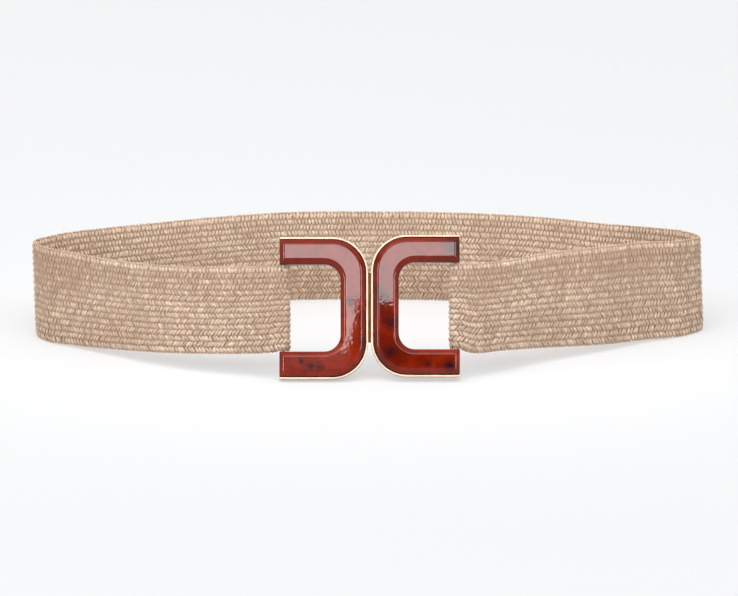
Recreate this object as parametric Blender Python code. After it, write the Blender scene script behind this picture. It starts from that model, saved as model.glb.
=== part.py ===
# A woven stretch belt, fastened and standing on its lower edge.
# Metres, +Z up. The buckle faces -Y, and the loop's footprint is centred on the origin.

import math

import bmesh
import bpy
import numpy as np
from mathutils import Vector

# The band: a strip with ribs along it, and the loop that it makes.
BAND_WIDTH = 0.050
BAND_THICKNESS = 0.0026
RIB_COUNT = 15
RIB_RELIEF = 0.0004
LOOP_HALF_WIDTH = 0.168    # from the buckle's middle to the wall at either end of the loop
LOOP_DEPTH = 0.125         # from the buckle's foot to the rear wall
TAB_LENGTH = 0.028         # what lies back inside after the fold round a bar
TAB_CLOSING = 0.4          # share of the tab over which it closes up to the wall

# One half of the buckle, seen from the front, and its depth from back to front.
HALF_WIDTH = 0.043
HALF_HEIGHT = 0.069
LIMB_WIDTH = 0.0134
OUTER_RADIUS = 0.0175
INNER_RADIUS = 0.0080
TRAY_FLOOR = 0.0014
TRAY_DEPTH = 0.0044
RIM_WIDTH = 0.0010
INLAY_PROUD = 0.0020       # how far the inlay stands in front of the rim
BEVEL_WIDTH = 0.0022
BEVEL_DEPTH = 0.0016
BAR_DIAMETER = 0.0022
BAR_INSET = 0.0016         # from the arms' ends to the bar's axis
BAR_COVER = 0.0001         # tray floor left in front of the bar

# How the two halves stand: side by side, leaning back, the right one a little higher.
HALVES_GAP = 0.0014
LEAN_DEGREES = 22
RIGHT_RAISE = 0.0011

# The hidden clasp, one plain plate behind both halves.
PLATE_WIDTH = 0.022
PLATE_HEIGHT = 0.034
PLATE_THICKNESS = 0.0015
PLATE_RADIUS = 0.003

# What neighbouring pieces leave between them.
CLEARANCE = 0.0003

# Fineness of the faceted solids.
CORNER_STEPS = 9
BAR_SIDES = 10
FOLD_STEPS = 8
PATH_STEP = 0.001
STATION_LENGTH = 0.022
STATION_TURN_DEGREES = 24

# The loop's wall, from the left arm ends round the back to the right arm ends.
# x, y: the lower edge, as shares of LOOP_HALF_WIDTH and LOOP_DEPTH.
# lift: height of the lower edge, as a share of its height at the buckle.
# lean: how far the wall leans back, as a share of LEAN_DEGREES.
# side: sideways shift of the upper edge, as a share of the wall's width there.
# spread: 0 is the width that fits between the arms, 1 is BAND_WIDTH.
WALL_COLUMNS = ("x", "y", "lift", "lean", "side", "spread")
WALL_ROWS = (
    (-0.290, 0.023, 0.89, 0.96, 0.000, 0.12),
    (-0.345, 0.038, 0.81, 0.91, 0.000, 0.14),
    (-0.565, 0.125, 0.55, 0.77, 0.000, 0.20),
    (-0.765, 0.280, 0.23, 0.50, 0.000, 0.44),
    (-0.881, 0.377, 0.08, 0.30, 0.000, 0.75),
    (-0.976, 0.468, 0.00, 0.05, 0.000, 1.00),
    (-1.003, 0.541, 0.00, 0.00, 0.000, 1.00),
    (-0.948, 0.629, 0.00, 0.00, 0.000, 1.00),
    (-0.800, 0.742, 0.00, 0.00, 0.000, 0.95),
    (-0.660, 0.822, 0.00, 0.00, 0.000, 0.90),
    (-0.468, 0.922, 0.00, 0.00, 0.000, 0.86),
    (-0.258, 0.988, 0.00, 0.00, 0.000, 0.86),
    (0.006, 1.000, 0.00, 0.00, 0.000, 0.86),
    (0.228, 0.988, 0.00, 0.00, 0.000, 0.86),
    (0.536, 0.914, 0.00, 0.00, 0.000, 0.86),
    (0.714, 0.815, 0.00, 0.00, 0.000, 0.90),
    (0.870, 0.744, 0.00, 0.00, -0.030, 0.95),
    (0.966, 0.686, 0.00, 0.00, -0.055, 1.00),
    (1.009, 0.614, 0.00, 0.00, -0.064, 1.00),
    (0.960, 0.534, 0.00, 0.18, -0.050, 1.00),
    (0.830, 0.442, 0.09, 0.50, -0.030, 1.00),
    (0.697, 0.329, 0.25, 0.68, -0.015, 0.93),
    (0.507, 0.189, 0.55, 0.86, 0.000, 0.64),
    (0.383, 0.082, 0.78, 0.94, 0.000, 0.32),
    (0.295, 0.032, 0.87, 0.97, 0.000, 0.24),
)


def remove_everything():
    for item in list(bpy.data.objects):
        bpy.data.objects.remove(item, do_unlink=True)


def make_material(name, color, roughness, metallic):
    material = bpy.data.materials.new(name)
    material.use_nodes = True
    shader = material.node_tree.nodes["Principled BSDF"]
    shader.inputs["Base Color"].default_value = (*color, 1.0)
    shader.inputs["Roughness"].default_value = roughness
    shader.inputs["Metallic"].default_value = metallic
    material.diffuse_color = (*color, 1.0)
    return material


def add_object(name, vertices, faces, material):
    """A closed mesh object whose faces point outwards."""
    shape = bmesh.new()
    corners = [shape.verts.new(place) for place in vertices]
    for face in faces:
        shape.faces.new([corners[index] for index in face])
    bmesh.ops.recalc_face_normals(shape, faces=shape.faces)
    mesh = bpy.data.meshes.new(name)
    shape.to_mesh(mesh)
    shape.free()
    mesh.materials.append(material)
    item = bpy.data.objects.new(name, mesh)
    bpy.context.scene.collection.objects.link(item)
    return item


def loft_faces(sections, points, caps):
    """Faces between rings of points, closed at both ends by the caps' index lists."""
    faces = []
    for ring in range(sections - 1):
        for index in range(points):
            after = (index + 1) % points
            faces.append((ring * points + index, ring * points + after,
                          (ring + 1) * points + after, (ring + 1) * points + index))
    last = (sections - 1) * points
    for cap in caps:
        faces.append(tuple(cap))
        faces.append(tuple(last + index for index in reversed(cap)))
    return faces


# The buckle halves. u runs from the arms' ends to the leg, v runs up, d runs to the front.

def on_buckle(side, u, v, d):
    """World place of a point of the left (-1) or right (1) half, or of the plate (0)."""
    x = side * (HALVES_GAP / 2 + HALF_WIDTH - u) if side else u
    raised = v + (RIGHT_RAISE if side > 0 else 0.0)
    up = HALF_HEIGHT / 2 + raised
    lean = math.radians(LEAN_DEGREES)
    return Vector((x,
                   up * math.sin(lean) - d * math.cos(lean),
                   up * math.cos(lean) + d * math.sin(lean)))


def corner_arc(center_u, center_v, radius, start):
    """A quarter turn, clockwise from the start angle."""
    points = []
    for step in range(CORNER_STEPS + 1):
        angle = start - math.pi / 2 * step / CORNER_STEPS
        points.append((center_u + radius * math.cos(angle), center_v + radius * math.sin(angle)))
    return points


def bent_edge(reach, half_height, radius, start_u):
    """Top arm, leg and bottom arm of one edge of the limb, from one arm's end to the other's."""
    center_u = reach - radius
    center_v = half_height - radius
    edge = [(start_u, half_height)]
    edge += corner_arc(center_u, center_v, radius, math.pi / 2)
    edge += corner_arc(center_u, -center_v, radius, 0.0)
    edge.append((start_u, -half_height))
    return edge


def outer_edge(inset, start_u=0.0):
    return bent_edge(HALF_WIDTH - inset, HALF_HEIGHT / 2 - inset, OUTER_RADIUS - inset, start_u)


def window_half_height():
    return HALF_HEIGHT / 2 - LIMB_WIDTH


def inner_edge(inset, start_u=0.0):
    return bent_edge(HALF_WIDTH - LIMB_WIDTH + inset, window_half_height() + inset,
                     INNER_RADIUS + inset, start_u)


def limb_solid(name, side, outline, caps, material):
    """A solid along the limb. The outline lists an edge and a depth for each corner."""
    sections = len(outline[0][0])
    vertices = [on_buckle(side, *edge[section], depth)
                for section in range(sections) for edge, depth in outline]
    return add_object(name, vertices, loft_faces(sections, len(outline), caps), material)


def bar_axis_depth():
    return TRAY_FLOOR - BAR_COVER - BAR_DIAMETER / 2


def make_bar(name, side, material):
    """The round bar between the arms, its ends sunk to the middle of each arm."""
    reach = window_half_height() + LIMB_WIDTH / 2
    vertices = []
    for v in (-reach, reach):
        for index in range(BAR_SIDES):
            angle = 2 * math.pi * index / BAR_SIDES
            vertices.append(on_buckle(side, BAR_INSET + BAR_DIAMETER / 2 * math.cos(angle), v,
                                      bar_axis_depth() + BAR_DIAMETER / 2 * math.sin(angle)))
    return add_object(name, vertices, loft_faces(2, BAR_SIDES, [range(BAR_SIDES)]), material)


def make_frame(name, side, material):
    """Tray with a rim along its outer edge only, joined to its bar."""
    wall = outer_edge(0.0)
    rim = outer_edge(RIM_WIDTH)
    inside = inner_edge(0.0)
    outline = [(wall, 0.0), (wall, TRAY_DEPTH), (rim, TRAY_DEPTH),
               (rim, TRAY_FLOOR), (inside, TRAY_FLOOR), (inside, 0.0)]
    frame = limb_solid(name, side, outline, [(0, 1, 2, 3), (0, 3, 4, 5)], material)
    bar = make_bar(name + "_bar", side, material)
    bar.hide_render = True
    bar.display_type = 'WIRE'
    join = frame.modifiers.new("Bar", 'BOOLEAN')
    join.operation = 'UNION'
    join.solver = 'EXACT'
    join.object = bar
    return frame


def make_inlay(name, side, material):
    """Resin piece in the tray, with a bevel all round its face."""
    front = TRAY_DEPTH + INLAY_PROUD
    outside = outer_edge(RIM_WIDTH + CLEARANCE)
    inside = inner_edge(0.0)
    face_outside = outer_edge(RIM_WIDTH + CLEARANCE + BEVEL_WIDTH, BEVEL_WIDTH)
    face_inside = inner_edge(BEVEL_WIDTH, BEVEL_WIDTH)
    outline = [(outside, TRAY_FLOOR + CLEARANCE), (outside, front - BEVEL_DEPTH),
               (face_outside, front), (face_inside, front),
               (inside, front - BEVEL_DEPTH), (inside, TRAY_FLOOR + CLEARANCE)]
    return limb_solid(name, side, outline, [(0, 1, 4, 5), (1, 2, 3, 4)], material)


def make_clasp_plate(name, material):
    """Rounded plate behind both legs."""
    half_width = PLATE_WIDTH / 2
    half_height = PLATE_HEIGHT / 2
    ring = []
    for turn, (sign_u, sign_v) in enumerate(((1, 1), (1, -1), (-1, -1), (-1, 1))):
        ring += corner_arc(sign_u * (half_width - PLATE_RADIUS), sign_v * (half_height - PLATE_RADIUS),
                           PLATE_RADIUS, math.pi / 2 * (1 - turn))
    vertices = []
    for d in (-CLEARANCE - PLATE_THICKNESS, -CLEARANCE):
        vertices += [on_buckle(0, u, v + RIGHT_RAISE / 2, d) for u, v in ring]
    return add_object(name, vertices, loft_faces(2, len(ring), [range(len(ring))]), material)


# The band. A path is an array with a row for each place along the strip:
# x, y and z of the lower edge, then x, y and z of the upper edge.

def neck_half_width():
    return window_half_height() - CLEARANCE


def fold_place(side, u, d):
    return [*on_buckle(side, u, -neck_half_width(), d), *on_buckle(side, u, neck_half_width(), d)]


def fold_radius():
    return BAR_DIAMETER / 2 + CLEARANCE + BAND_THICKNESS / 2


def fold_path(side):
    """Half a turn round the bar, from the front of it to the back."""
    places = []
    for step in range(FOLD_STEPS + 1):
        angle = math.pi * step / FOLD_STEPS
        places.append(fold_place(side, BAR_INSET + fold_radius() * math.sin(angle),
                                 bar_axis_depth() + fold_radius() * math.cos(angle)))
    return np.array(places)


def wall_place(row):
    """Lower and upper edge of the wall at one row of the table."""
    lean = math.radians(LEAN_DEGREES) * row["lean"]
    neck = 2 * neck_half_width()
    width = neck + (BAND_WIDTH - neck) * row["spread"]
    edge_drop = (BAND_THICKNESS / 2 - RIB_RELIEF) * math.hypot(math.sin(lean), row["side"])
    lift = fold_path(-1)[0][2] * row["lift"] + edge_drop
    x = LOOP_HALF_WIDTH * row["x"]
    y = LOOP_DEPTH * row["y"]
    upright = width * math.sqrt(1 - row["side"] ** 2)
    return [x, y, lift, x + width * row["side"],
            y + upright * math.sin(lean), lift + upright * math.cos(lean)]


def smooth_path(places, start_direction, end_direction):
    """Curve through the places, leaving the first and reaching the last in given directions."""
    lengths = np.linalg.norm(np.diff(places[:, :3], axis=0), axis=1)
    slopes = np.diff(places, axis=0) / lengths[:, None]
    weight = lengths[:-1] / (lengths[:-1] + lengths[1:])
    between = slopes[:-1] * (1 - weight)[:, None] + slopes[1:] * weight[:, None]
    between /= np.linalg.norm(between[:, :3], axis=1)[:, None]
    tangents = np.vstack([start_direction, between, end_direction])
    pieces = []
    for index, length in enumerate(lengths):
        share = np.linspace(0, 1, max(2, round(length / PATH_STEP)), endpoint=False)[:, None]
        pieces.append((1 + 2 * share) * (1 - share) ** 2 * places[index]
                      + share * (1 - share) ** 2 * length * tangents[index]
                      + share ** 2 * (3 - 2 * share) * places[index + 1]
                      - share ** 2 * (1 - share) * length * tangents[index + 1])
    return np.vstack(pieces + [places[-1:]])


def path_frame(path):
    """Middle of the wall, its unit direction up and its unit normal, out of the loop."""
    middle = (path[:, :3] + path[:, 3:]) / 2
    up = path[:, 3:] - path[:, :3]
    up /= np.linalg.norm(up, axis=1)[:, None]
    normal = np.cross(up, np.gradient(middle, axis=0))
    normal /= np.linalg.norm(normal, axis=1)[:, None]
    return middle, up, normal


def along(path):
    """Distance along the middle of the wall."""
    middle = (path[:, :3] + path[:, 3:]) / 2
    return np.concatenate([[0.0], np.cumsum(np.linalg.norm(np.diff(middle, axis=0), axis=1))])


def tab_path(wall, inwards):
    """The strip's end, lying back along the wall's inner side from the fold."""
    distance = along(wall)
    kept = distance <= TAB_LENGTH
    share = distance[kept] / TAB_LENGTH
    closing = np.clip(share / TAB_CLOSING, 0, 1)
    closing = closing ** 2 * (3 - 2 * closing)
    wide = 2 * fold_radius()
    narrow = BAND_THICKNESS + CLEARANCE
    gap = wide + (narrow - wide) * closing
    shift = inwards[kept] * gap[:, None]
    return wall[kept] + np.hstack([shift, shift])


def band_path():
    """The whole strip: left tab, left fold, wall, right fold, right tab."""
    rows = [dict(zip(WALL_COLUMNS, row)) for row in WALL_ROWS]
    left_fold = fold_path(-1)
    right_fold = fold_path(1)
    left_arm_end = fold_place(-1, 0.0, bar_axis_depth() + fold_radius())
    right_arm_end = fold_place(1, 0.0, bar_axis_depth() + fold_radius())
    places = np.array([left_fold[0], left_arm_end] + [wall_place(row) for row in rows]
                      + [right_arm_end, right_fold[0]])
    outwards = np.array([-1.0, 0, 0, -1.0, 0, 0])
    wall = smooth_path(places, outwards, outwards)
    normal = path_frame(wall)[2]
    left_tab = tab_path(wall, -normal)[::-1]
    right_tab = tab_path(wall[::-1], -normal[::-1])
    return np.vstack([left_tab[:-1], left_fold[::-1][:-1], wall[:-1], right_fold[:-1], right_tab])


def pick_stations(path):
    """Places along the strip, closer together where it turns."""
    middle = (path[:, :3] + path[:, 3:]) / 2
    steps = np.diff(middle, axis=0)
    lengths = np.linalg.norm(steps, axis=1)
    directions = steps / lengths[:, None]
    cosines = np.clip(np.sum(directions[1:] * directions[:-1], axis=1), -1, 1)
    turns = np.concatenate([[0.0], np.arccos(cosines)])
    effort = lengths / STATION_LENGTH + turns / math.radians(STATION_TURN_DEGREES)
    measure = np.concatenate([[0.0], np.cumsum(effort)])
    count = math.ceil(measure[-1]) + 1
    wanted = np.linspace(0, measure[-1], count)
    return np.stack([np.interp(wanted, measure, column) for column in path.T], axis=1)


def make_band(name, material):
    path = pick_stations(band_path())
    middle, up, normal = path_frame(path)
    width = np.linalg.norm(path[:, 3:] - path[:, :3], axis=1)
    crest = BAND_THICKNESS / 2
    ring = []
    for point in range(2 * RIB_COUNT + 1):
        ring.append((point / (2 * RIB_COUNT) - 0.5, crest if point % 2 else crest - RIB_RELIEF))
    ring += [(share, -depth) for share, depth in reversed(ring)]
    vertices = []
    for station in range(len(path)):
        for share, depth in ring:
            vertices.append(middle[station] + up[station] * width[station] * share
                            + normal[station] * depth)
    faces = loft_faces(len(path), len(ring), [])
    last = (len(path) - 1) * len(ring)
    for point in range(2 * RIB_COUNT):
        cap = (point, point + 1, len(ring) - 2 - point, len(ring) - 1 - point)
        faces.append(cap)
        faces.append(tuple(last + index for index in reversed(cap)))
    return add_object(name, vertices, faces, material)


def centre_footprint(items):
    """Moves everything so that the origin is under the middle of the footprint."""
    bpy.context.view_layer.update()
    corners = np.array([vertex.co for item in items for vertex in item.data.vertices])
    low = corners.min(axis=0)
    high = corners.max(axis=0)
    shift = Vector((-(low[0] + high[0]) / 2, -(low[1] + high[1]) / 2, -low[2]))
    for item in bpy.data.objects:
        item.location = shift


def main():
    remove_everything()
    jute = make_material("jute", (0.52, 0.36, 0.24), 0.9, 0.0)
    gold = make_material("gold", (0.86, 0.64, 0.40), 0.25, 1.0)
    resin = make_material("tortoiseshell_resin", (0.24, 0.03, 0.015), 0.15, 0.0)
    items = [make_band("band", jute)]
    for side, prefix in ((-1, "left"), (1, "right")):
        items.append(make_frame(prefix + "_frame", side, gold))
        items.append(make_inlay(prefix + "_inlay", side, resin))
    items.append(make_clasp_plate("clasp_plate", gold))
    centre_footprint(items)


main()
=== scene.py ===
# A woven stretch belt with a two-part tortoiseshell buckle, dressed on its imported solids.
# Metres, +Z up. The buckle faces -Y and the belt stands on its lower edge.

import math

import bmesh
import bpy
import numpy as np
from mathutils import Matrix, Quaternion, Vector


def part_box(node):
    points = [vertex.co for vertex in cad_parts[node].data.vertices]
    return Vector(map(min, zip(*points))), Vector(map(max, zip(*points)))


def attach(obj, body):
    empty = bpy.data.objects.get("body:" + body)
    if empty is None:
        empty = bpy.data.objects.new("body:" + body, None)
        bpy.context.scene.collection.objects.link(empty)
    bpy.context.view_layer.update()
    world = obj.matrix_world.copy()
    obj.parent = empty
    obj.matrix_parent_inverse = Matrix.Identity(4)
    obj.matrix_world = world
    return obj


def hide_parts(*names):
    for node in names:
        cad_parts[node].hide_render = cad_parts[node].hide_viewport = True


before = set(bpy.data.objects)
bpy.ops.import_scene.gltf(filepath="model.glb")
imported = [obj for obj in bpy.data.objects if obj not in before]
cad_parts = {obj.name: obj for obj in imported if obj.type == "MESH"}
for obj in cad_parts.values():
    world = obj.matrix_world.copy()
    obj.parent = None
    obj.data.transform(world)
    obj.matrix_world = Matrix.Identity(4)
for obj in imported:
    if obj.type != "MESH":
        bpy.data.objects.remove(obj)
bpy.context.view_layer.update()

chance = np.random.default_rng(11)


# the buckle's sizes, shared by its pieces and by the band that folds round its bars

buckle = {
    "width": 0.043,            # one half, from the arms' ends to the outside of the leg
    "height": 0.069,
    "limbWidth": 0.0134,
    "outerRadius": 0.0175,
    "innerRadius": 0.0080,
    "gap": 0.0014,             # between the two halves
    "rightRaise": 0.0011,      # the right half stands a little higher
    "lean": math.radians(22),
    "trayFloor": 0.0014,
    "trayDepth": 0.0044,
    "barDiameter": 0.0022,
    "barInset": 0.0016,
    "barDepth": 0.0002,        # how far the bar's middle is in front of the tray's back
    "clearance": 0.0003,
}

leftLow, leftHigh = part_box("left_frame")
rightLow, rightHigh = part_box("right_frame")
buckleFoot = Vector((
    (leftHigh.x + rightLow.x) / 2,
    leftLow.y + buckle["trayDepth"] * math.cos(buckle["lean"]),
    leftLow.z,
))


# camera

photoView = {
    "elevation": math.radians(18),
    "distance": 1.392,
    "lens": 138.1,             # on a 36 mm wide sensor
    "target": (buckleFoot.x - 0.0003, buckleFoot.y + 0.0296, 0.032),
}


def placeCamera():
    eye = bpy.data.cameras.new("photoCamera")
    eye.lens = photoView["lens"]
    eye.sensor_width = 36
    eye.sensor_fit = "HORIZONTAL"
    eye.clip_start = 0.02
    camera = bpy.data.objects.new("photoCamera", eye)
    bpy.context.scene.collection.objects.link(camera)
    target = Vector(photoView["target"])
    rise = photoView["elevation"]
    towards = Vector((0, math.cos(rise), -math.sin(rise)))
    camera.location = target - towards * photoView["distance"]
    camera.rotation_euler = towards.to_track_quat("-Z", "Y").to_euler()
    bpy.context.scene.camera = camera
    print("camera placed")


placeCamera()


# small helpers for working in edit mode

def deselectAll():
    if bpy.context.mode != "OBJECT":
        bpy.ops.object.mode_set(mode="OBJECT")
    bpy.ops.object.select_all(action="DESELECT")


def selectOnly(piece):
    deselectAll()
    bpy.context.view_layer.objects.active = piece
    piece.select_set(True)


def startEdit(piece):
    selectOnly(piece)
    bpy.ops.object.mode_set(mode="EDIT")


def pickAll(kind=None):
    if kind:
        bpy.ops.mesh.select_mode(type=kind)
    bpy.ops.mesh.select_all(action="SELECT")


def pick(kind, test):
    # selects the vertices, edges or faces whose middle passes the test
    bpy.ops.mesh.select_mode(type=kind)
    bpy.ops.mesh.select_all(action="DESELECT")
    mesh = bpy.context.edit_object.data
    shape = bmesh.from_edit_mesh(mesh)
    parts = {"VERT": shape.verts, "EDGE": shape.edges, "FACE": shape.faces}[kind]
    for part in parts:
        if kind == "VERT":
            middle = part.co
        else:
            middle = sum((corner.co for corner in part.verts), Vector()) / len(part.verts)
        if test(middle):
            part.select_set(True)
    shape.select_flush_mode()
    bmesh.update_edit_mesh(mesh)


def near(value, *levels):
    return any(abs(value - level) < 0.00002 for level in levels)


def joinDoubles():
    pickAll()
    bpy.ops.mesh.remove_doubles(threshold=0.000005)


def closeShell():
    joinDoubles()
    bpy.ops.mesh.normals_make_consistent(inside=False)
    bpy.ops.object.mode_set(mode="OBJECT")


def addSheet(name, center, size, across):
    # a rectangle seen from the front ("front") or from the side ("side"), in edit mode
    turn = (math.pi / 2, 0, 0) if across == "front" else (0, math.pi / 2, 0)
    deselectAll()
    bpy.ops.mesh.primitive_plane_add(size=1, location=center, rotation=turn)
    sheet = bpy.context.object
    sheet.name = name
    sheet.data.name = name
    bpy.ops.object.transform_apply()
    startEdit(sheet)
    pickAll()
    bpy.ops.transform.resize(value=size, center_override=center)
    return sheet


def push(value):
    bpy.ops.mesh.extrude_region_move(TRANSFORM_OT_translate={"value": value})


def roundCorners(radius, segments):
    bpy.ops.mesh.bevel(offset_type="OFFSET", offset=radius, segments=segments, profile=0.5, affect="VERTICES")


def addModifier(piece, kind, **settings):
    modifier = piece.modifiers.new(kind.title(), kind)
    for name, value in settings.items():
        setattr(modifier, name, value)


def finishPiece(piece, material, slotName, *nodes):
    piece.data.materials.clear()
    piece.data.materials.append(material)
    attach(piece, "root")
    if nodes:
        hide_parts(*nodes)


# shader helpers and the effects that several materials share

def feed(tree, socket, value):
    # links the socket to another node's output, or gives it a plain value
    if isinstance(value, bpy.types.NodeSocket):
        tree.links.new(value, socket)
    else:
        socket.default_value = value


def addNode(tree, kind, **inputs):
    node = tree.nodes.new(kind)
    for name, value in inputs.items():
        feed(tree, node.inputs[name.replace("_", " ")], value)
    return node


def addMath(tree, operation, *values, kind="ShaderNodeMath"):
    node = tree.nodes.new(kind)
    node.operation = operation
    for socket, value in zip(node.inputs, values):
        feed(tree, socket, value)
    return node.outputs["Value"]


def addMix(tree, share, first, second):
    node = tree.nodes.new("ShaderNodeMix")
    node.data_type = "RGBA"
    for index, value in ((0, share), (6, first), (7, second)):      # its sockets for colours
        feed(tree, node.inputs[index], value)
    return node.outputs[2]


def addRange(tree, value, fromLow, fromHigh, toLow=0.0, toHigh=1.0, ease="LINEAR"):
    node = addNode(tree, "ShaderNodeMapRange", Value=value, From_Min=fromLow, From_Max=fromHigh,
                   To_Min=toLow, To_Max=toHigh)
    node.interpolation_type = ease
    return node.outputs["Result"]


def addNoise(tree, place, scale, **inputs):
    return addNode(tree, "ShaderNodeTexNoise", Vector=place, Scale=scale, **inputs).outputs["Fac"]


def addAttribute(tree, name):
    node = tree.nodes.new("ShaderNodeAttribute")
    node.attribute_name = name
    return node.outputs["Fac"]


def addBump(tree, shader, relief, strength, distance):
    bump = addNode(tree, "ShaderNodeBump", Height=relief, Strength=strength, Distance=distance)
    tree.links.new(bump.outputs["Normal"], shader.inputs["Normal"])


def newGroup(name, inputs, outputs):
    # an input without a value is a vector; the other inputs and all outputs are numbers
    group = bpy.data.node_groups.new(name, "ShaderNodeTree")
    for socketName, value in inputs.items():
        kind = "NodeSocketVector" if value is None else "NodeSocketFloat"
        socket = group.interface.new_socket(name=socketName, in_out="INPUT", socket_type=kind)
        if value is not None:
            socket.default_value = value
    for socketName in outputs:
        group.interface.new_socket(name=socketName, in_out="OUTPUT", socket_type="NodeSocketFloat")
    given = group.nodes.new("NodeGroupInput").outputs
    result = group.nodes.new("NodeGroupOutput").inputs
    return group, given, result


def useGroup(tree, group, **inputs):
    node = tree.nodes.new("ShaderNodeGroup")
    node.node_tree = group
    for name, value in inputs.items():
        feed(tree, node.inputs[name], value)
    return node.outputs


def makeMottleGroup():
    # soft patches of uneven colour
    group, given, result = newGroup(
        "mottle", {"Vector": None, "Scale": 100.0, "Distortion": 0.0, "Low": 0.4, "High": 0.65}, ["Mask"])
    noise = addNoise(group, given["Vector"], given["Scale"], Distortion=given["Distortion"],
                     Detail=3.0, Roughness=0.55)
    mask = addRange(group, noise, given["Low"], given["High"], ease="SMOOTHSTEP")
    group.links.new(mask, result["Mask"])
    return group


def makeWearGroup():
    # hair-fine scratches and faint handling marks
    group, given, result = newGroup("handlingWear", {"Vector": None, "Scale": 400.0, "Amount": 1.0}, ["Mask"])
    stretch = addNode(group, "ShaderNodeMapping", Vector=given["Vector"], Scale=(1.0, 0.35, 0.08),
                      Rotation=(0.3, 0.5, 0.7))
    lines = addNoise(group, stretch.outputs["Vector"], given["Scale"], Detail=4.0, Roughness=0.6)
    marks = addNoise(group, given["Vector"], 60.0, Detail=2.0)
    both = addMath(group, "MULTIPLY", addRange(group, lines, 0.45, 0.7), addRange(group, marks, 0.4, 0.65))
    group.links.new(addMath(group, "MULTIPLY", both, given["Amount"]), result["Mask"])
    return group


def makeStrandGroup():
    # the twist of a spun yarn and the fibres that run along it, on UV: along the yarn, then round it
    group, given, result = newGroup(
        "spunStrand", {"Vector": None, "Turns": 0.5, "Plies": 2.0, "Fibres": 9.0}, ["Twist", "Fibre"])
    parts = addNode(group, "ShaderNodeSeparateXYZ", Vector=given["Vector"]).outputs
    turned = addMath(group, "MULTIPLY", parts["X"], given["Turns"])
    around = addMath(group, "MULTIPLY", parts["Y"], given["Plies"])
    phase = addMath(group, "ADD", turned, around)
    wave = addMath(group, "SINE", addMath(group, "MULTIPLY", phase, math.tau))
    group.links.new(addRange(group, wave, -1.0, 1.0), result["Twist"])
    slanted = addMath(group, "ADD", addMath(group, "MULTIPLY", turned, 0.5), parts["Y"])
    joined = addNode(group, "ShaderNodeCombineXYZ", X=addMath(group, "MULTIPLY", parts["X"], 0.9),
                     Y=addMath(group, "MULTIPLY", slanted, given["Fibres"]))
    fibre = addNoise(group, joined.outputs["Vector"], 1.0, Detail=3.0, Roughness=0.6)
    group.links.new(addRange(group, fibre, 0.3, 0.7), result["Fibre"])
    return group


def makeSpotGroup():
    # one soft round patch in the resin
    group, given, result = newGroup("resinSpot", {"Vector": None, "Place": None, "Radius": 0.003}, ["Mask"])
    apart = addMath(group, "DISTANCE", given["Vector"], given["Place"], kind="ShaderNodeVectorMath")
    share = addMath(group, "DIVIDE", apart, given["Radius"])
    group.links.new(addRange(group, share, 0.0, 1.0, 1.0, 0.0, "SMOOTHSTEP"), result["Mask"])
    return group


mottle = makeMottleGroup()
handlingWear = makeWearGroup()
spunStrand = makeStrandGroup()
resinSpot = makeSpotGroup()


def newMaterial(name, **settings):
    # the material, its node tree, its shader and the outputs of its coordinates
    material = bpy.data.materials.new(name)
    material.use_nodes = True
    tree = material.node_tree
    shader = tree.nodes["Principled BSDF"]
    for socket, value in settings.items():
        shader.inputs[socket.replace("_", " ")].default_value = value
    return material, tree, shader, tree.nodes.new("ShaderNodeTexCoord").outputs


# materials

juteLook = {
    "valleyDustAndShade": (0.520, 0.340, 0.230, 1),    # down between the stitches: partly dust and darker fibre, partly painted shade
    "dark": (0.530, 0.350, 0.240, 1),
    "light": (0.915, 0.700, 0.530, 1),
    "rosy": (0.900, 0.620, 0.500, 1),
    "straw": (0.880, 0.740, 0.510, 1),
    "pale": (1.000, 0.880, 0.760, 1),    # bleached fibres
    "paleShare": 0.45,
    "shadow": 0.75,                      # how far tints below 0 turn to the dark valley colour, as painted shade
    "sunk": (0.22, 0.78, 0.70),          # heights between which low-lying yarn turns to the dark valley colour as painted shade, and how far
    # colour, share, scale, and the noise levels between which it sets in
    "mottles": (("rosy", 0.45, 150.0, 0.45, 0.70), ("straw", 0.45, 190.0, 0.45, 0.70),
                ("dark", 0.34, 34.0, 0.38, 0.68), ("dark", 0.40, 1000.0, 0.42, 0.62)),
}


def makeJuteMaterial():
    material, tree, shader, places = newMaterial(
        "jute_yarn", Roughness=0.85, Sheen_Weight=0.25, Sheen_Roughness=0.5,
        Sheen_Tint=(1.0, 0.9, 0.78, 1), Specular_IOR_Level=0.25)
    look = juteLook
    # the tint carries the yarn's own colour and its painted light and shade
    tintAndShade = addAttribute(tree, "tintAndShade")
    height = addAttribute(tree, "height")
    strand = useGroup(tree, spunStrand, Vector=places["UV"], Turns=0.42, Plies=2.0)
    body = addMix(tree, tintAndShade, look["dark"], look["light"])
    bleached = addMath(tree, "MULTIPLY", strand["Fibre"], look["paleShare"])
    body = addMix(tree, bleached, body, look["pale"])
    for colour, share, scale, low, high in look["mottles"]:
        mask = useGroup(tree, mottle, Vector=places["Object"], Scale=scale, Low=low, High=high)["Mask"]
        body = addMix(tree, addMath(tree, "MULTIPLY", mask, share), body, look[colour])
    # painted shade: low tints and low-lying yarn turn to the dark valley colour
    shadow = addRange(tree, tintAndShade, -1.0, 0.0, look["shadow"], 0.0)
    body = addMix(tree, shadow, body, look["valleyDustAndShade"])
    body = addMix(tree, addRange(tree, height, *look["sunk"], 0.0), body, look["valleyDustAndShade"])
    tree.links.new(body, shader.inputs["Base Color"])
    addBump(tree, shader, addMath(tree, "ADD", strand["Twist"], strand["Fibre"]), 0.8, 0.00020)
    return material


coreLook = {
    "dark": (0.380, 0.245, 0.160, 1),
    "light": (0.480, 0.330, 0.225, 1),
}


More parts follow.
